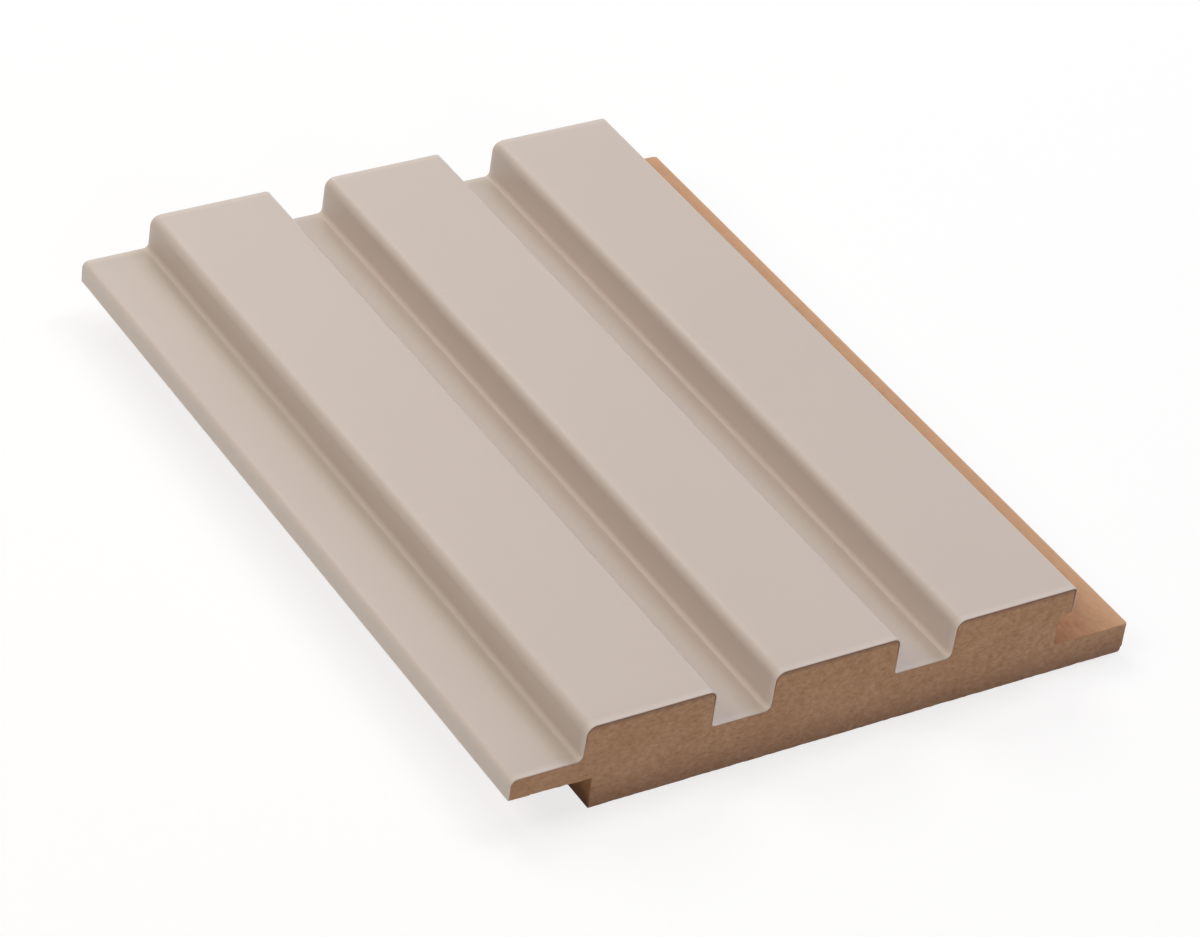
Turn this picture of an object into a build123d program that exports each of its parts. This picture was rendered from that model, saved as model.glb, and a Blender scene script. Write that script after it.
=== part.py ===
from build123d import *
import os
from math import radians, tan, cos

os.makedirs("parts", exist_ok=True)

# A short length of slatted wall panel, lying face up on its back.
# +X runs across the slats, +Y along them and +Z out of the face. All sizes are in millimetres.
# The origin is on the underside, in the middle of the overall width and of the length.

# Overall sizes
panel_thickness = 16.0
panel_length = 145.0

# Slats and the grooves between them
slat_count = 3
slat_width = 22.4
groove_width = 10.3
groove_floor_height = 9.2         # above the underside
slat_pitch = slat_width + groove_width

# Left lip, wrapped, which covers the next panel's right lip
left_lip_reach = 12.25            # out from slat 1's left wall
left_lip_top_height = 9.9
left_lip_root_height = 5.7        # of its underside, at the body
left_lip_tip_height = 6.1         # of its underside, at the tip
body_setback = 2.0                # of the body's wall under the lip, in from slat 1's left wall

# Right lip, bare, which is fixed to the wall and then covered
lap_clearance = 0.2               # between the right lip and the root of the lip that covers it
right_lip_thickness = left_lip_root_height - lap_clearance
right_lip_reach = 11.8            # out from slat 3's right wall
right_lip_easing = 0.2
right_lip_chamfer_across = 0.8
right_lip_chamfer_up = 1.0

# Undercut in slat 3's right side, which takes the tip of the next panel's left lip
undercut_mouth_height = 11.3
undercut_roof_height = 10.3       # of its inner corner, before that is rounded
undercut_depth = 2.4
undercut_corner_radius = 1.2

# Wrapped film with its glue line
film_thickness = 0.4

# Corners of the face, as seen on the outside of the film
lip_tip_radius = 1.2
slat_left_radius = 1.8
slat_right_radius = 1.3
last_slat_right_radius = 0.6      # beside the bare lip, where the film ends
left_wall_base_radius = 0.9
right_wall_base_radius = 0.4
left_wall_lean = 0.25             # how far a slat's left wall runs out between its top and its base

# Places across the panel
slats_width = slat_count * slat_width + (slat_count - 1) * groove_width
overall_width = left_lip_reach + slats_width + right_lip_reach
left_end = -overall_width / 2
right_end = overall_width / 2
slat_lefts = [left_end + left_lip_reach + i * slat_pitch for i in range(slat_count)]
last_slat_right = slat_lefts[-1] + slat_width
body_left = slat_lefts[0] + body_setback


def face_corners():
    """Corners of the wrapped face from the left lip's lower edge to the undercut: x, height, radius."""
    corners = [(left_end, left_lip_tip_height, 0), (left_end, left_lip_top_height, lip_tip_radius)]
    floor_height = left_lip_top_height
    for slat_left in slat_lefts:
        corners.append((slat_left - left_wall_lean, floor_height, left_wall_base_radius))
        corners.append((slat_left, panel_thickness, slat_left_radius))
        corners.append((slat_left + slat_width, panel_thickness, slat_right_radius))
        floor_height = groove_floor_height
        corners.append((slat_left + slat_width, floor_height, right_wall_base_radius))
    corners[-2] = (last_slat_right, panel_thickness, last_slat_right_radius)
    corners[-1] = (last_slat_right, undercut_mouth_height, 0)
    return corners


def inset_corners(corners, depth):
    """The same corners moved into the board by a depth, so that arcs stay concentric."""
    points = [Vector(x, 0, z) for x, z, radius in corners]
    ways = [(end - start).normalized() for start, end in zip(points, points[1:])]
    inward = [Vector(way.Z, 0, -way.X) for way in ways]
    moved = [points[0] + inward[0] * depth]
    radii = [0]
    for i in range(1, len(points) - 1):
        half = (inward[i - 1] + inward[i]).normalized()
        moved.append(points[i] + half * (depth / half.dot(inward[i])))
        juts_out = ways[i].dot(inward[i - 1]) > 0
        radii.append(corners[i][2] - depth if juts_out else corners[i][2] + depth)
    moved.append(points[-1] + inward[-1] * depth)
    radii.append(0)
    return [(point.X, point.Z, radius) for point, radius in zip(moved, radii)]


def rounded_edges(corners):
    """Straight edges through the corners, with an arc at each corner that has a radius."""
    points = [Vector(x, 0, z) for x, z, radius in corners]
    edges = []
    start = points[0]
    for i in range(1, len(points) - 1):
        radius = corners[i][2]
        here = points[i]
        if radius > 0:
            arrive = (here - points[i - 1]).normalized()
            leave = (points[i + 1] - here).normalized()
            half_turn = radians(arrive.get_angle(leave)) / 2
            bend_start = here - arrive * (radius * tan(half_turn))
            bend_end = here + leave * (radius * tan(half_turn))
            bend_middle = here + (leave - arrive).normalized() * (radius / cos(half_turn) - radius)
            edges.append(Edge.make_line(start, bend_start))
            edges.append(Edge.make_three_point_arc(bend_start, bend_middle, bend_end))
            start = bend_end
        else:
            edges.append(Edge.make_line(start, here))
            start = here
    edges.append(Edge.make_line(start, points[-1]))
    return edges


def bare_corners():
    """Corners of the unwrapped outline, from the undercut round the back to the left lip's underside."""
    pocket_wall = last_slat_right - undercut_depth
    return [
        (pocket_wall, undercut_roof_height, undercut_corner_radius),
        (pocket_wall, right_lip_thickness, 0),
        (right_end, right_lip_thickness, right_lip_easing),
        (right_end, right_lip_chamfer_up, 0),
        (right_end - right_lip_chamfer_across, 0, 0),
        (body_left, 0, 0),
        (body_left, left_lip_root_height, 0),
    ]


def along_panel(edges):
    """The closed section, drawn at one end and run the length of the panel."""
    section = Pos(0, -panel_length / 2, 0) * Face(Wire(edges))
    return extrude(section, amount=panel_length, dir=(0, 1, 0))


def make_core():
    """The moulded board: its face lies one film's thickness below the finished face."""
    board_face = inset_corners(face_corners(), film_thickness)
    return along_panel(rounded_edges(board_face + bare_corners() + board_face[:1]))


def make_film():
    """The film that wraps the face, the grooves and the left lip's outer edge."""
    outside = face_corners()
    inside = inset_corners(outside, film_thickness)
    ends = [
        Edge.make_line(Vector(outside[0][0], 0, outside[0][1]), Vector(inside[0][0], 0, inside[0][1])),
        Edge.make_line(Vector(outside[-1][0], 0, outside[-1][1]), Vector(inside[-1][0], 0, inside[-1][1])),
    ]
    return along_panel(rounded_edges(outside) + rounded_edges(inside) + ends)


export_step(make_core(), "parts/mdf_core.step")
export_step(make_film(), "parts/decor_film.step")
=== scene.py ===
import math
import bpy
import numpy as np
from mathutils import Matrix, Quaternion, Vector, geometry, noise


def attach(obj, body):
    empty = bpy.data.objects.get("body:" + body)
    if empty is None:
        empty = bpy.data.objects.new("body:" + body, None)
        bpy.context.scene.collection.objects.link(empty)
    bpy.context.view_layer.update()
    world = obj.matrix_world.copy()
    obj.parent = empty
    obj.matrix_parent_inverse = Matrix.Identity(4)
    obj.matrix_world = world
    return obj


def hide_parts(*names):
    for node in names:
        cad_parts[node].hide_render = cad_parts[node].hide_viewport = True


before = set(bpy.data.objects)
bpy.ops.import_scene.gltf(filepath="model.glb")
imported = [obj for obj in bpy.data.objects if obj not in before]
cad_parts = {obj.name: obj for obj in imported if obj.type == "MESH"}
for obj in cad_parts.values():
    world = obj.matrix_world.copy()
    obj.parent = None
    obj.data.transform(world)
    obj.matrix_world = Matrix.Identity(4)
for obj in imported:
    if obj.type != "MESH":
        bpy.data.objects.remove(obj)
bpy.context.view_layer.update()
scene = bpy.context.scene
print("frame loaded:", ", ".join(sorted(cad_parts)))

mm = 0.001

# The panel's section in millimetres: x across the slats, z up from the underside
panel = {
    "length": 145.0, "thickness": 16.0,
    "slatCount": 3, "slatWidth": 22.4, "grooveWidth": 10.3, "grooveFloor": 9.2,
    "leftReach": 12.25, "leftTop": 9.9, "leftRoot": 5.7, "leftTip": 6.1, "setback": 2.0,
    "rightReach": 11.8, "rightTop": 5.5, "rightEasing": 0.2, "chamferAcross": 0.8, "chamferUp": 1.0,
    "mouth": 11.3, "roof": 10.3, "undercut": 2.4, "undercutRadius": 1.2,
    "tipRadius": 1.2, "slatLeftRadius": 1.8, "slatRightRadius": 1.3, "lastRightRadius": 0.6,
    "leftBaseRadius": 0.9, "rightBaseRadius": 0.4, "lean": 0.25, "film": 0.4,
}


def linearColour(hexText):
    parts = [int(hexText[i:i + 2], 16) / 255 for i in (1, 3, 5)]
    linear = [p / 12.92 if p <= 0.04045 else ((p + 0.055) / 1.055) ** 2.4 for p in parts]
    return (*linear, 1.0)


def addNode(tree, kind, settings={}, inputs={}, links={}):
    node = tree.nodes.new(kind)
    for name, value in settings.items():
        setattr(node, name, value)
    for name, value in inputs.items():
        node.inputs[name].default_value = value
    for name, socket in links.items():
        tree.links.new(socket, node.inputs[name])
    return node


def newMaterial(name):
    material = bpy.data.materials.new(name)
    material.use_nodes = True
    material.node_tree.nodes.clear()
    return material, material.node_tree


# Camera, placed by a fit to the panel's edges
cameraSettings = {
    "place": (-0.349855, -0.50923, 0.44383), "turn": (0.864477, 0.426545, -0.164698, -0.208839),
    "lens": 140.965, "sensor": 36, "clip": (0.02, 50),
}


def addCamera(settings):
    data = bpy.data.cameras.new("camera")
    data.sensor_fit = "HORIZONTAL"
    data.sensor_width = settings["sensor"]
    data.lens = settings["lens"]
    data.clip_start, data.clip_end = settings["clip"]
    camera = bpy.data.objects.new("camera", data)
    camera.rotation_mode = "QUATERNION"
    camera.location = settings["place"]
    camera.rotation_quaternion = Quaternion(settings["turn"]).normalized()
    scene.collection.objects.link(camera)
    scene.camera = camera


addCamera(cameraSettings)
print("camera placed")


# Section outlines
def faceCorners(p):
    slatsWidth = p["slatCount"] * p["slatWidth"] + (p["slatCount"] - 1) * p["grooveWidth"]
    left = -(p["leftReach"] + slatsWidth + p["rightReach"]) / 2
    corners = [(left, p["leftTip"], 0), (left, p["leftTop"], p["tipRadius"])]
    floorHeight = p["leftTop"]
    for i in range(p["slatCount"]):
        slatLeft = left + p["leftReach"] + i * (p["slatWidth"] + p["grooveWidth"])
        corners.append((slatLeft - p["lean"], floorHeight, p["leftBaseRadius"]))
        corners.append((slatLeft, p["thickness"], p["slatLeftRadius"]))
        corners.append((slatLeft + p["slatWidth"], p["thickness"], p["slatRightRadius"]))
        floorHeight = p["grooveFloor"]
        corners.append((slatLeft + p["slatWidth"], floorHeight, p["rightBaseRadius"]))
    corners[-2] = (corners[-2][0], p["thickness"], p["lastRightRadius"])
    corners[-1] = (corners[-1][0], p["mouth"], 0)
    return corners


def bareCorners(p):
    slatRight = faceCorners(p)[-1][0]
    right = slatRight + p["rightReach"]
    bodyLeft = -right + p["leftReach"] + p["setback"]
    return [
        (slatRight - p["undercut"], p["roof"], p["undercutRadius"]),
        (slatRight - p["undercut"], p["rightTop"], 0),
        (right, p["rightTop"], p["rightEasing"]),
        (right, p["chamferUp"], 0),
        (right - p["chamferAcross"], 0, 0),
        (bodyLeft, 0, 0),
        (bodyLeft, p["leftRoot"], 0),
    ]


# Moves an open run of corners inwards by a depth, so that its arcs stay concentric
def insetCorners(corners, depth):
    points = np.array([c[:2] for c in corners])
    ways = np.diff(points, axis=0)
    ways /= np.linalg.norm(ways, axis=1)[:, None]
    inward = np.stack([ways[:, 1], -ways[:, 0]], 1)
    moved = [(*(points[0] + inward[0] * depth), 0)]
    for i in range(1, len(points) - 1):
        half = inward[i - 1] + inward[i]
        half /= np.linalg.norm(half)
        place = points[i] + half * depth / (half @ inward[i])
        outer = ways[i] @ inward[i - 1] > 0
        moved.append((*place, corners[i][2] - depth if outer else corners[i][2] + depth))
    moved.append((*(points[-1] + inward[-1] * depth), 0))
    return moved


# Points along corners with radii: arcs in even steps, and straights split into equal parts
def outlinePoints(corners, closed, straightParts, arcParts):
    count = len(corners)
    points = []
    ends = []
    for i, (x, z, radius) in enumerate(corners):
        here = Vector((x, z))
        if radius == 0 or (not closed and i in (0, count - 1)):
            ends.append((here, here, [here]))
            continue
        arrive = (here - Vector(corners[i - 1][:2])).normalized()
        leave = (Vector(corners[(i + 1) % count][:2]) - here).normalized()
        halfTurn = arrive.angle(leave) / 2
        centre = here + (leave - arrive).normalized() * radius / math.cos(halfTurn)
        first = here - arrive * radius * math.tan(halfTurn)
        last = here + leave * radius * math.tan(halfTurn)
        arc = []
        for k in range(arcParts + 1):
            share = k / arcParts
            spoke = (first - centre).normalized().slerp((last - centre).normalized(), share)
            arc.append(centre + spoke * radius)
        ends.append((first, last, arc))
    runs = count if closed else count - 1
    for i in range(runs):
        start = ends[i][1]
        end = ends[(i + 1) % count][0]
        points.extend(ends[i][2][:-1])
        parts = straightParts[i]
        points.extend(start.lerp(end, k / parts) for k in range(parts))
    if not closed:
        points.append(ends[-1][2][-1])
    return points


# How many parts each straight gets, from the outer corners, so that insets match point for point
def partsOfStraights(corners, closed, step):
    last = len(corners) if closed else len(corners) - 1
    lengths = [math.dist(corners[i][:2], corners[(i + 1) % len(corners)][:2]) for i in range(last)]
    return [max(2, round(length / step)) for length in lengths]


# The film is a sheet 0.4 mm thick with its glue line, sawn through with the board. Its skin is rounded over
# at the cuts, and the glue under the skin lies a little back
filmSettings = {"skin": 0.14, "rimSteps": 4, "glueSetBack": 0.05, "step": 2.0, "arcParts": 14, "rings": 30}


def buildFilm(p, s):
    outer = faceCorners(p)
    parts = partsOfStraights(outer, False, s["step"])
    half = p["length"] / 2
    turns = [k / s["rimSteps"] * math.pi / 2 for k in range(1, s["rimSteps"] + 1)]
    rim = [(s["skin"] * (1 - math.cos(turn)), s["skin"] * (1 - math.sin(turn))) for turn in turns]
    cut = rim + [(s["skin"], s["glueSetBack"]), (p["film"], s["glueSetBack"])]  # depth, in from the saw cut
    rows = [(depth, inFromEnd - half) for depth, inFromEnd in reversed(cut)]
    rows += [(0.0, y) for y in np.linspace(-half + s["skin"], half - s["skin"], s["rings"])]
    rows += [(depth, half - inFromEnd) for depth, inFromEnd in cut]
    vertices = []
    for depth, y in rows:
        line = outlinePoints(insetCorners(outer, depth), False, parts, s["arcParts"])
        vertices.extend((v.x * mm, y * mm, v.y * mm) for v in line)
    count = len(rows)
    perRow = len(vertices) // count
    faces = []
    slots = []
    for r in range(count):
        after = (r + 1) % count
        glued = r < 2 or r > count - 4  # the glue line under the skin, and the side against the board
        for i in range(perRow - 1):
            faces.append((r * perRow + i, r * perRow + i + 1, after * perRow + i + 1, after * perRow + i))
            slots.append(1 if glued else 0)
    faces.append([r * perRow for r in range(count)])  # the film's two long edges
    faces.append([r * perRow + perRow - 1 for r in reversed(range(count))])
    slots += [0, 0]
    return meshObject("wrappedFilm", vertices, faces, slots)


def meshObject(name, vertices, faces, slots):
    mesh = bpy.data.meshes.new(name)
    mesh.from_pydata(vertices, [], faces)
    mesh.polygons.foreach_set("material_index", slots)
    mesh.polygons.foreach_set("use_smooth", [True] * len(mesh.polygons))
    mesh.update()
    mesh.validate()
    piece = bpy.data.objects.new(name, mesh)
    scene.collection.objects.link(piece)
    return piece


# The board: its sawn ends have relief, and their bare arrises are slightly ragged. Wear is a multiple of the
# arris's width and depth, and shares of the grid are of its spacing
boardSettings = {
    "step": 0.45, "arcParts": 8, "rings": 24, "ringSetBack": 0.6,
    "arris": 0.16, "arrisDepth": 0.22, "arrisStep": 0.03,
    "wearLeast": 0.35, "wearSpread": 1.04, "wearSize": 0.9,
    "lipWear": 1.5, "lipWearSpread": 0.2, "lipEdge": 0.5,
    "grid": 0.42, "gridRow": 0.87, "gridJitter": 0.22, "gridClear": 0.45, "gridSeed": 11,
    "relief": 0.05, "reliefMiddle": 0.5,
    # Fibre bundles, grit and a broad unevenness: each one's size across and up, share and place in the noise
    "reliefParts": [
        (1.1, 0.38, 0.45, 7.3),
        (0.5, 0.4, 0.3, 3.1),
        (9.0, 5.0, 0.25, 1.7),
    ],
}


def insidePolygon(points, polygon):
    inside = np.zeros(len(points), bool)
    x, y = points[:, 0], points[:, 1]
    for (x0, y0), (x1, y1) in zip(polygon, np.roll(polygon, -1, 0)):
        if y0 != y1:
            crosses = (y0 > y) != (y1 > y)
            inside ^= crosses & (x < (x1 - x0) * (y - y0) / (y1 - y0) + x0)
    return inside


def distanceToOutline(points, polygon):
    nearest = np.full(len(points), 1e9)
    for a, b in zip(polygon, np.roll(polygon, -1, 0)):
        way = b - a
        share = np.clip(((points - a) @ way) / (way @ way), 0, 1)
        nearest = np.minimum(nearest, np.linalg.norm(points - a - share[:, None] * way, axis=1))
    return nearest


# Depth of the sawn face's relief at a point of the section, in millimetres
def sawnRelief(x, z, side, s):
    height = s["reliefMiddle"]
    for across, up, share, place in s["reliefParts"]:
        height += share * noise.noise(Vector((x / across, side * place, z / up)))
    return s["relief"] * height


def buildBoard(p, s):
    covered = insetCorners(faceCorners(p), p["film"])
    corners = covered + bareCorners(p)
    parts = partsOfStraights(corners, True, s["step"])
    outline = np.array([tuple(v) for v in outlinePoints(corners, True, parts, s["arcParts"])])
    count = len(outline)
    half = p["length"] / 2
    ways = np.roll(outline, -1, 0) - np.roll(outline, 1, 0)
    ways /= np.linalg.norm(ways, axis=1)[:, None]
    inward = np.stack([ways[:, 1], -ways[:, 0]], 1)
    # The outline's points under the film stay put, and the bare ones give way at the arris
    coveredLine = np.array([tuple(v) for v in outlinePoints(covered, False, parts, s["arcParts"])])
    bare = distanceToOutline(outline, coveredLine[:-1]) > 0.3
    atLipEdge = outline[:, 0] > outline[:, 0].max() - s["lipEdge"]
    face = half - s["reliefMiddle"] * s["relief"]
    rings = []
    for side in (-1, 1):
        spots = [Vector((x / s["wearSize"], side * 5, z / s["wearSize"])) for x, z in outline]
        worn = [s["wearLeast"] + s["wearSpread"] * abs(noise.noise(spot)) for spot in spots]
        worn = np.where(bare, worn, 0.0)
        worn = np.where(atLipEdge, s["lipWear"] + s["lipWearSpread"] * worn, worn)
        back = inward * (worn * s["arris"])[:, None]
        drop = worn * s["arrisDepth"]
        end = [  # the worn arris in three lines, from the sawn face over to the side
            (outline + back, face - 0.25 * drop),
            (outline + 0.35 * back, face - 0.6 * drop - s["arrisStep"]),
            (outline, face - np.maximum(drop, s["arrisDepth"]) - s["arrisStep"]),
        ]
        rings.append([(points, side * y) for points, y in end])
    inner = np.linspace(-half + s["ringSetBack"], half - s["ringSetBack"], s["rings"])
    order = rings[0] + [(outline, np.full(count, y)) for y in inner] + rings[1][::-1]
    vertices = [(x * mm, yy * mm, z * mm) for points, y in order for (x, z), yy in zip(points, y)]
    faces = []
    slots = []
    for r in range(len(order) - 1):
        for i in range(count):
            j = (i + 1) % count
            faces.append((r * count + i, r * count + j, (r + 1) * count + j, (r + 1) * count + i))
            slots.append(1)
    # Each sawn end is filled with a jittered grid that carries the relief
    for side, ringIndex in ((-1, 0), (1, len(order) - 1)):
        edge = order[ringIndex][0]
        low, high = edge.min(0), edge.max(0)
        levels = np.arange(low[1], high[1], s["grid"] * s["gridRow"])
        gx, gz = np.meshgrid(np.arange(low[0], high[0], s["grid"]), levels)
        gx[1::2] += s["grid"] / 2
        grid = np.stack([gx.ravel(), gz.ravel()], 1)
        jitter = np.random.default_rng(s["gridSeed"] + side)
        grid += jitter.uniform(-s["gridJitter"], s["gridJitter"], grid.shape) * s["grid"]
        grid = grid[insidePolygon(grid, edge)]
        grid = grid[distanceToOutline(grid, edge) > s["gridClear"] * s["grid"]]
        flat = [Vector(v) for v in np.vstack([edge, grid])]
        border = [(i, (i + 1) % count) for i in range(count)]
        made = geometry.delaunay_2d_cdt(flat, border, [], 1, 1e-6)
        index = {}
        for k, (place, source) in enumerate(zip(made[0], made[3])):
            if source and source[0] < count:
                index[k] = ringIndex * count + source[0]
            else:
                index[k] = len(vertices)
                y = side * (half - sawnRelief(place.x, place.y, side, s))
                vertices.append((place.x * mm, y * mm, place.y * mm))
        for face in made[2]:
            corner = [index[k] for k in face]
            faces.append(corner if side < 0 else corner[::-1])
            slots.append(0)
    return meshObject("milledBoard", vertices, faces, slots)


# MDF, sawn across: fibre bundles laid flat show as a fine mottling with short level flecks. The board was
# formed by pressing between hot plates, so it is dense and dark at its faces, most of all at the back, where
# nothing is milled away; that darkening towards the back is partly density and partly painted shade near the
# floor. The end is painted a shade browner towards the left lip, as painted shade
sawnLook = {
    "dark": "#b38a6b", "light": "#cfa98a", "fleck": "#7d5a43", "fleckShare": 0.29,
    "pressedAndShaded": "#e1e3ec", "backDepth": 6.2, "faceDepth": 0.8,
    "clump": 1.3, "flake": 0.55, "broad": 7.0, "fibre": (1.0, 0.5, 0.5), "fleckSize": (1.2, 0.5, 0.5),
    # painted shade: the sawn end browner towards the left lip
    "edge": "#9f7b60", "edgeFrom": 12.0, "edgeTo": -56.0, "paintedLightShare": 0.14,
    "roughness": (0.82, 0.95), "bump": 0.05,
}
# MDF, milled by a profile cutter: the same fibres cut flatter, warmer and smoother. The bare lip is painted
# paler towards its outer edge, as painted light for the shade beside the pocket and the highlight along the
# edge, and the rebate is darker towards the back, partly density and partly painted shade
milledLook = {
    "dark": "#af7d59", "light": "#ca9a74", "fleck": "#8f664a", "fleckShare": 0.20,
    "pressedAndShaded": "#c2c2cb", "backDepth": 4.5, "faceDepth": 0.2,
    "clump": 2.6, "flake": 0.9, "broad": 9.0, "fibre": (0.9, 3.2, 0.8), "fleckSize": (0.5, 0.7, 0.5),
    # painted light: the bare lip paler towards its outer edge
    "edge": "#e6ba95", "edgeFrom": 47.5, "edgeTo": 56.2, "paintedLightShare": 0.75,
    "roughness": (0.72, 0.88), "bump": 0.02,
}
# How the grain is mixed, sawn or milled: each noise's share, and the ranges that turn the mix into tones
grainMix = {
    "flakeShare": 0.5, "fibreShare": 0.35, "broadShare": 0.12,
    "toneRange": (0.37, 0.63), "fleckRange": (0.60, 0.74), "bumpStrength": 0.6,
}


def fibreboard(name, look, mix, p):
    material, tree = newMaterial(name)
    place = addNode(tree, "ShaderNodeTexCoord").outputs["Object"]
    clump = addNode(tree, "ShaderNodeTexNoise",
                    inputs={"Scale": 1000 / look["clump"], "Detail": 2.0, "Roughness": 0.55},
                    links={"Vector": place})
    flake = addNode(tree, "ShaderNodeTexNoise",
                    inputs={"Scale": 1000 / look["flake"], "Detail": 3.0, "Roughness": 0.6},
                    links={"Vector": place})
    broad = addNode(tree, "ShaderNodeTexNoise", inputs={"Scale": 1000 / look["broad"], "Detail": 1.0},
                    links={"Vector": place})
    along = addNode(tree, "ShaderNodeVectorMath", {"operation": "MULTIPLY"},
                    {1: tuple(1000 / size for size in look["fibre"])}, {0: place})
    fibre = addNode(tree, "ShaderNodeTexNoise", inputs={"Scale": 1.0, "Detail": 2.0, "Roughness": 0.5},
                    links={"Vector": along.outputs[0]})
    flaky = addNode(tree, "ShaderNodeMix", {"data_type": "FLOAT"}, {0: mix["flakeShare"]},
                    {2: clump.outputs[0], 3: flake.outputs[0]})
    fine = addNode(tree, "ShaderNodeMix", {"data_type": "FLOAT"}, {0: mix["fibreShare"]},
                   {2: flaky.outputs[0], 3: fibre.outputs[0]})
    blend = addNode(tree, "ShaderNodeMix", {"data_type": "FLOAT"}, {0: mix["broadShare"]},
                    {2: fine.outputs[0], 3: broad.outputs[0]})
    tone = addNode(tree, "ShaderNodeMapRange",
                   inputs={"From Min": mix["toneRange"][0], "From Max": mix["toneRange"][1]},
                   links={"Value": blend.outputs[0]})
    wood = addNode(tree, "ShaderNodeMix", {"data_type": "RGBA"},
                   {6: linearColour(look["dark"]), 7: linearColour(look["light"])}, {0: tone.outputs[0]})
    specks = addNode(tree, "ShaderNodeVectorMath", {"operation": "MULTIPLY"},
                     {1: tuple(1000 / size for size in look["fleckSize"])}, {0: place})
    speck = addNode(tree, "ShaderNodeTexNoise", inputs={"Scale": 1.0, "Detail": 1.0, "Roughness": 0.4},
                    links={"Vector": specks.outputs[0]})
    fleckMask = addNode(tree, "ShaderNodeMapRange",
                        inputs={"From Min": mix["fleckRange"][0], "From Max": mix["fleckRange"][1],
                                "To Max": look["fleckShare"]},
                        links={"Value": speck.outputs[0]})
    flecked = addNode(tree, "ShaderNodeMix", {"data_type": "RGBA"}, {7: linearColour(look["fleck"])},
                      {0: fleckMask.outputs[0], 6: wood.outputs[2]})
    axes = addNode(tree, "ShaderNodeSeparateXYZ", links={0: place})
    # painted light across x: the sawn end browner towards the left lip, the milled lip paler towards its
    # outer edge
    paintedLightRamp = addNode(tree, "ShaderNodeMapRange",
                       inputs={"From Min": look["edgeFrom"] * mm, "From Max": look["edgeTo"] * mm,
                               "To Max": look["paintedLightShare"]},
                       links={"Value": axes.outputs[0]})
    paintedLightMixed = addNode(tree, "ShaderNodeMix", {"data_type": "RGBA"}, {7: linearColour(look["edge"])},
                    {0: paintedLightRamp.outputs[0], 6: flecked.outputs[2]})
    # darker towards the back and the top face: the top is the board's dense face, the back partly that and
    # partly painted shade
    low = addNode(tree, "ShaderNodeMapRange", {"interpolation_type": "SMOOTHSTEP"},
                  {"From Min": 0.0, "From Max": look["backDepth"] * mm, "To Min": 1.0, "To Max": 0.0},
                  {"Value": axes.outputs[2]})
    boardTop = p["thickness"] - p["film"]
    high = addNode(tree, "ShaderNodeMapRange", {"interpolation_type": "SMOOTHSTEP"},
                   {"From Min": (boardTop - look["faceDepth"]) * mm, "From Max": (boardTop - 0.1) * mm},
                   {"Value": axes.outputs[2]})
    skin = addNode(tree, "ShaderNodeMath", {"operation": "MAXIMUM"},
                   links={0: low.outputs[0], 1: high.outputs[0]})
    coloured = addNode(tree, "ShaderNodeMix", {"data_type": "RGBA", "blend_type": "MULTIPLY"},
                       {7: linearColour(look["pressedAndShaded"])}, {0: skin.outputs[0], 6: paintedLightMixed.outputs[2]})
    rough = addNode(tree, "ShaderNodeMapRange",
                    inputs={"To Min": look["roughness"][0], "To Max": look["roughness"][1]},
                    links={"Value": flake.outputs[0]})
    bump = addNode(tree, "ShaderNodeBump",
                   inputs={"Strength": mix["bumpStrength"], "Distance": look["bump"] * mm},
                   links={"Height": fine.outputs[0]})
    shader = addNode(tree, "ShaderNodeBsdfPrincipled", inputs={"IOR": 1.45, "Specular IOR Level": 0.25},
                     links={"Base Color": coloured.outputs[2], "Roughness": rough.outputs[0],
                            "Normal": bump.outputs[0]})
    addNode(tree, "ShaderNodeOutputMaterial", links={"Surface": shader.outputs[0]})
    return material


# Polypropylene decor film, calendered: an even beige with a satin sheen and a fine, soft grain. A painted
# highlight pales it beside the cuts, on the arrises that face up and to the right, and round the lip's tip.
# Painted shade greys the lip, most of all in the hollow beside the slat
filmLook = {
    "colour": "#cdc1b8", "shade": "#cabdb4", "cloud": 38.0, "grain": 0.5, "grainShare": 0.3,
    "range": (0.3, 0.7),
    # painted highlight beside the cuts, on the arrises and round the tip, and painted shade on the lip
    "paintedHighlight": "#dcd2ca", "cutHighlightWidth": 1.6, "cutHighlightShare": 0.6,
    "arrisHighlightRange": (0.08, 0.4), "highlightShare": 0.8, "tipHighlightWidth": 1.0,
    "paintedShade": "#c2b6ac", "shadeAtTip": 0.4, "hollowWidth": 1.5,
    "roughness": (0.44, 0.54), "telegraph": 2.4, "telegraphShare": 0.6, "bump": 0.006, "bumpStrength": 0.5,
}


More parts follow.
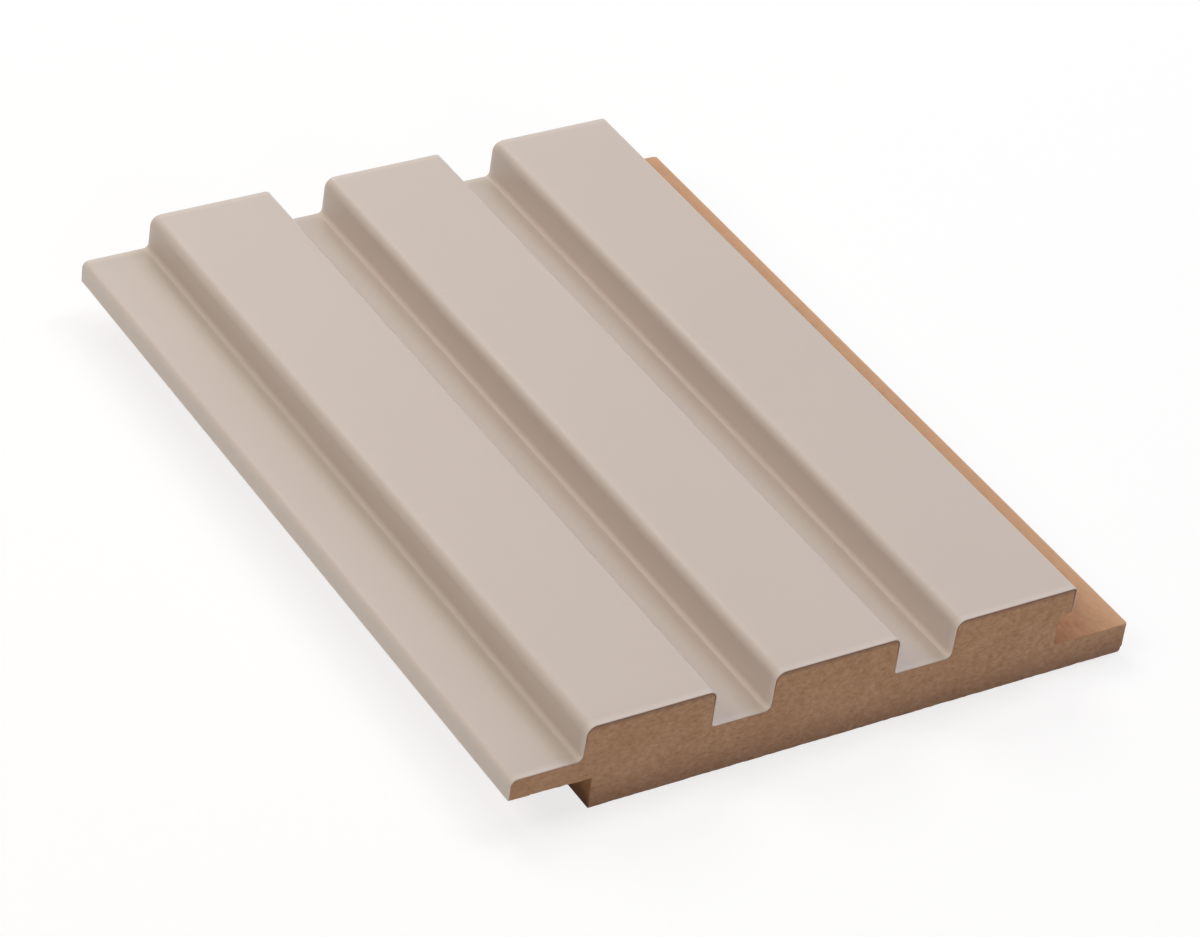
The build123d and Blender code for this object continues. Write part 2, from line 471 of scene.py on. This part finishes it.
def calenderedFilm(name, look, p):
    material, tree = newMaterial(name)
    place = addNode(tree, "ShaderNodeTexCoord").outputs["Object"]
    cloud = addNode(tree, "ShaderNodeTexNoise", inputs={"Scale": 1000 / look["cloud"], "Detail": 2.0},
                    links={"Vector": place})
    grain = addNode(tree, "ShaderNodeTexNoise",
                    inputs={"Scale": 1000 / look["grain"], "Detail": 3.0, "Roughness": 0.6},
                    links={"Vector": place})
    printed = addNode(tree, "ShaderNodeMix", {"data_type": "FLOAT"}, {0: look["grainShare"]},
                      {2: cloud.outputs[0], 3: grain.outputs[0]})
    low, high = look["range"]
    tone = addNode(tree, "ShaderNodeMapRange", inputs={"From Min": low, "From Max": high},
                   links={"Value": printed.outputs[0]})
    colour = addNode(tree, "ShaderNodeMix", {"data_type": "RGBA"},
                     {6: linearColour(look["shade"]), 7: linearColour(look["colour"])},
                     {0: tone.outputs[0]})
    axes = addNode(tree, "ShaderNodeSeparateXYZ", links={0: place})
    # painted shade: the lip greyed, most in the hollow beside the first slat
    tip = faceCorners(p)[0][0]
    slatLeft = tip + p["leftReach"]
    hollow = slatLeft - look["hollowWidth"]
    onLip = addNode(tree, "ShaderNodeMapRange",
                    inputs={"From Min": slatLeft * mm, "From Max": hollow * mm},
                    links={"Value": axes.outputs[0]})
    towardsWall = addNode(tree, "ShaderNodeMapRange",
                          inputs={"From Min": tip * mm, "From Max": hollow * mm,
                                  "To Min": look["shadeAtTip"]},
                          links={"Value": axes.outputs[0]})
    lipShadeMask = addNode(tree, "ShaderNodeMath", {"operation": "MULTIPLY"},
                    links={0: onLip.outputs[0], 1: towardsWall.outputs[0]})
    paintedShade = addNode(tree, "ShaderNodeMix", {"data_type": "RGBA"}, {7: linearColour(look["paintedShade"])},
                     {0: lipShadeMask.outputs[0], 6: colour.outputs[2]})
    # painted highlight round the lip's tip
    tipHighlight = addNode(tree, "ShaderNodeMapRange",
                    inputs={"From Min": (tip + look["tipHighlightWidth"]) * mm, "From Max": tip * mm,
                            "To Max": look["highlightShare"]},
                    links={"Value": axes.outputs[0]})
    fromMiddle = addNode(tree, "ShaderNodeMath", {"operation": "ABSOLUTE"}, links={0: axes.outputs[1]})
    # painted highlight beside the cuts
    cutEnd = p["length"] / 2
    cutHighlight = addNode(tree, "ShaderNodeMapRange", {"interpolation_type": "SMOOTHSTEP"},
                      {"From Min": (cutEnd - look["cutHighlightWidth"]) * mm, "From Max": cutEnd * mm,
                       "To Max": look["cutHighlightShare"]},
                      {"Value": fromMiddle.outputs[0]})
    # painted highlight on the arrises that face up and to the right, from the shading normal
    normal = addNode(tree, "ShaderNodeNewGeometry").outputs["Normal"]
    facing = addNode(tree, "ShaderNodeSeparateXYZ", links={0: normal})
    upRightFacing = addNode(tree, "ShaderNodeMath", {"operation": "MULTIPLY"},
                      links={0: facing.outputs[0], 1: facing.outputs[2]})  # most at 45 degrees to the right
    arrisHighlight = addNode(tree, "ShaderNodeMapRange",
                     inputs={"From Min": look["arrisHighlightRange"][0], "From Max": look["arrisHighlightRange"][1],
                             "To Max": look["highlightShare"]},
                     links={"Value": upRightFacing.outputs[0]})
    arrisAndTipHighlight = addNode(tree, "ShaderNodeMath", {"operation": "MAXIMUM"},
                        links={0: tipHighlight.outputs[0], 1: arrisHighlight.outputs[0]})
    highlightMask = addNode(tree, "ShaderNodeMath", {"operation": "MAXIMUM"},
                    links={0: cutHighlight.outputs[0], 1: arrisAndTipHighlight.outputs[0]})
    # the painted highlights mixed into the colour
    paintedHighlight = addNode(tree, "ShaderNodeMix", {"data_type": "RGBA"}, {7: linearColour(look["paintedHighlight"])},
                       {0: highlightMask.outputs[0], 6: paintedShade.outputs[2]})
    rough = addNode(tree, "ShaderNodeMapRange",
                    inputs={"From Min": low, "From Max": high, "To Min": look["roughness"][0],
                            "To Max": look["roughness"][1]},
                    links={"Value": cloud.outputs[0]})
    board = addNode(tree, "ShaderNodeTexNoise", inputs={"Scale": 1000 / look["telegraph"], "Detail": 1.0},
                    links={"Vector": place})
    heights = addNode(tree, "ShaderNodeMix", {"data_type": "FLOAT"}, {0: look["telegraphShare"]},
                      {2: grain.outputs[0], 3: board.outputs[0]})
    bump = addNode(tree, "ShaderNodeBump",
                   inputs={"Strength": look["bumpStrength"], "Distance": look["bump"] * mm},
                   links={"Height": heights.outputs[0]})
    shader = addNode(tree, "ShaderNodeBsdfPrincipled", inputs={"IOR": 1.49},
                     links={"Base Color": paintedHighlight.outputs[2], "Roughness": rough.outputs[0],
                            "Normal": bump.outputs[0]})
    addNode(tree, "ShaderNodeOutputMaterial", links={"Surface": shader.outputs[0]})
    return material


# Hot-melt glue line with crushed fibre in it: dark where it meets the board's dense skin, paler in the milled
# grooves, with a smeared change between the two heights
glueLook = {
    "dark": "#8a6552", "pale": "#b3917a", "from": 11.5, "to": 14.5,
    "size": 0.6, "smearShare": 0.5, "smearShift": 0.25, "roughness": 0.7, "bump": 0.02, "bumpStrength": 0.5,
}


def glueLine(name, look):
    material, tree = newMaterial(name)
    place = addNode(tree, "ShaderNodeTexCoord").outputs["Object"]
    height = addNode(tree, "ShaderNodeSeparateXYZ", links={0: place}).outputs[2]
    level = addNode(tree, "ShaderNodeMapRange",
                    inputs={"From Min": look["from"] * mm, "From Max": look["to"] * mm},
                    links={"Value": height})
    smear = addNode(tree, "ShaderNodeTexNoise", inputs={"Scale": 1000 / look["size"], "Detail": 2.0},
                    links={"Vector": place})
    wobble = addNode(tree, "ShaderNodeMath", {"operation": "MULTIPLY_ADD"}, {1: look["smearShare"]},
                     {0: smear.outputs[0], 2: level.outputs[0]})
    factor = addNode(tree, "ShaderNodeMath", {"operation": "SUBTRACT", "use_clamp": True},
                     {1: look["smearShift"]}, {0: wobble.outputs[0]})
    colour = addNode(tree, "ShaderNodeMix", {"data_type": "RGBA"},
                     {6: linearColour(look["pale"]), 7: linearColour(look["dark"])}, {0: factor.outputs[0]})
    bump = addNode(tree, "ShaderNodeBump",
                   inputs={"Strength": look["bumpStrength"], "Distance": look["bump"] * mm},
                   links={"Height": smear.outputs[0]})
    shader = addNode(tree, "ShaderNodeBsdfPrincipled", inputs={"IOR": 1.48, "Roughness": look["roughness"]},
                     links={"Base Color": colour.outputs[2], "Normal": bump.outputs[0]})
    addNode(tree, "ShaderNodeOutputMaterial", links={"Surface": shader.outputs[0]})
    return material


sharpFrom = math.radians(38)  # edges that turn by more than this stay sharp
film = buildFilm(panel, filmSettings)
film.data.materials.append(calenderedFilm("decorFilmCalendered", filmLook, panel))
film.data.materials.append(glueLine("glueLineSawn", glueLook))
film.data.set_sharp_from_angle(angle=sharpFrom)
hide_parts("decor_film")
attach(film, "root")
print("film:", len(film.data.polygons), "faces")

board = buildBoard(panel, boardSettings)
board.data.materials.append(fibreboard("fibreboardSawn", sawnLook, grainMix, panel))
board.data.materials.append(fibreboard("fibreboardMilled", milledLook, grainMix, panel))
board.data.set_sharp_from_angle(angle=sharpFrom)
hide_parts("mdf_core")
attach(board, "root")
print("board:", len(board.data.polygons), "faces")


# Studio: a pale floor that takes the shadow, an even sky and large soft lamps
# A lamp's level is its share of the light that shows a colour as it is written
studio = {
    "floorSize": 8.0, "floorBounce": "#dadada", "floorLift": 0.76, "floorShare": 0.28,
    "fadeFrom": 0.35, "fadeTo": 1.0,  # from here the floor fades to plain white, so no horizon shows
    "skyLevel": 0.02, "skyTint": "#ffffff",
}
lamps = {
    "rightHigh": {"from": (1.0, 0.2, 1.73), "distance": 1.3, "size": 0.5, "level": 0.24, "tint": "#f6f9ff"},
    "rightTop": {"from": (1.0, 0.2, 1.0), "distance": 1.3, "size": 0.6, "level": 0.14, "tint": "#d4d9ff"},
    "leftTop": {"from": (-1.0, 0.1, 1.0), "distance": 1.3, "size": 0.6, "level": 0.40, "tint": "#fff6ea"},
    "backTop": {"from": (0.1, 1.0, 1.0), "distance": 1.3, "size": 0.8, "level": 0.405, "tint": "#fffcf4"},
    "frontLow": {"from": (-0.1, -1.0, 0.3), "distance": 1.3, "size": 0.8, "level": 0.25, "tint": "#fff5e9"},
}


def addLamps(lamps):
    for name, lamp in lamps.items():
        data = bpy.data.lights.new(name, "AREA")
        data.shape = "SQUARE"
        data.size = lamp["size"]
        data.color = linearColour(lamp["tint"])[:3]
        data.energy = lamp["level"] * math.pi ** 2 * lamp["distance"] ** 2
        lampObject = bpy.data.objects.new(name, data)
        way = Vector(lamp["from"]).normalized()
        lampObject.location = way * lamp["distance"]
        lampObject.rotation_mode = "QUATERNION"
        lampObject.rotation_quaternion = way.to_track_quat("Z", "Y")
        scene.collection.objects.link(lampObject)


# 1 for the rays that show the floor or the sky as such: the camera's, mirrored ones and those through glass
def seenDirectly(tree):
    path = addNode(tree, "ShaderNodeLightPath")
    mirrored = addNode(tree, "ShaderNodeMath", {"operation": "MAXIMUM"},
                       links={0: path.outputs["Is Camera Ray"], 1: path.outputs["Is Glossy Ray"]})
    seen = addNode(tree, "ShaderNodeMath", {"operation": "MAXIMUM"},
                   links={0: mirrored.outputs[0], 1: path.outputs["Is Transmission Ray"]})
    return seen.outputs[0]


def addFloor(settings):
    size = settings["floorSize"] / 2
    mesh = bpy.data.meshes.new("floor")
    corners = [(-size, -size, 0), (size, -size, 0), (size, size, 0), (-size, size, 0)]
    mesh.from_pydata(corners, [], [(0, 1, 2, 3)])
    floor = bpy.data.objects.new("floor", mesh)
    scene.collection.objects.link(floor)
    material, tree = newMaterial("floorPaper")
    seen = seenDirectly(tree)
    share = settings["floorShare"]
    tone = addNode(tree, "ShaderNodeMix", {"data_type": "RGBA"},
                   {6: linearColour(settings["floorBounce"]), 7: (share, share, share, 1)}, {0: seen})
    matt = addNode(tree, "ShaderNodeBsdfDiffuse", links={"Color": tone.outputs[2]})
    place = addNode(tree, "ShaderNodeTexCoord").outputs["Object"]
    away = addNode(tree, "ShaderNodeVectorMath", {"operation": "LENGTH"}, links={0: place})
    lift = addNode(tree, "ShaderNodeMapRange",
                   inputs={"From Min": settings["fadeFrom"], "From Max": settings["fadeTo"],
                           "To Min": settings["floorLift"], "To Max": 1.0},
                   links={"Value": away.outputs["Value"]})
    glow = addNode(tree, "ShaderNodeMath", {"operation": "MULTIPLY"}, links={0: seen, 1: lift.outputs[0]})
    white = addNode(tree, "ShaderNodeEmission", links={"Strength": glow.outputs[0]})
    both = addNode(tree, "ShaderNodeAddShader", links={0: matt.outputs[0], 1: white.outputs[0]})
    addNode(tree, "ShaderNodeOutputMaterial", links={"Surface": both.outputs[0]})
    mesh.materials.append(material)


def addSky(settings):
    world = bpy.data.worlds.new("sky")
    world.use_nodes = True
    tree = world.node_tree
    tree.nodes.clear()
    light = addNode(tree, "ShaderNodeBackground",
                    inputs={"Color": linearColour(settings["skyTint"]), "Strength": settings["skyLevel"]})
    white = addNode(tree, "ShaderNodeBackground", inputs={"Color": (1, 1, 1, 1), "Strength": 1.0})
    mix = addNode(tree, "ShaderNodeMixShader",
                  links={0: seenDirectly(tree), 1: light.outputs[0], 2: white.outputs[0]})
    addNode(tree, "ShaderNodeOutputWorld", links={"Surface": mix.outputs[0]})
    scene.world = world


addLamps(lamps)
addFloor(studio)
addSky(studio)
scene.view_settings.view_transform = "Standard"
print("studio lit by", len(lamps), "lamps and the sky")
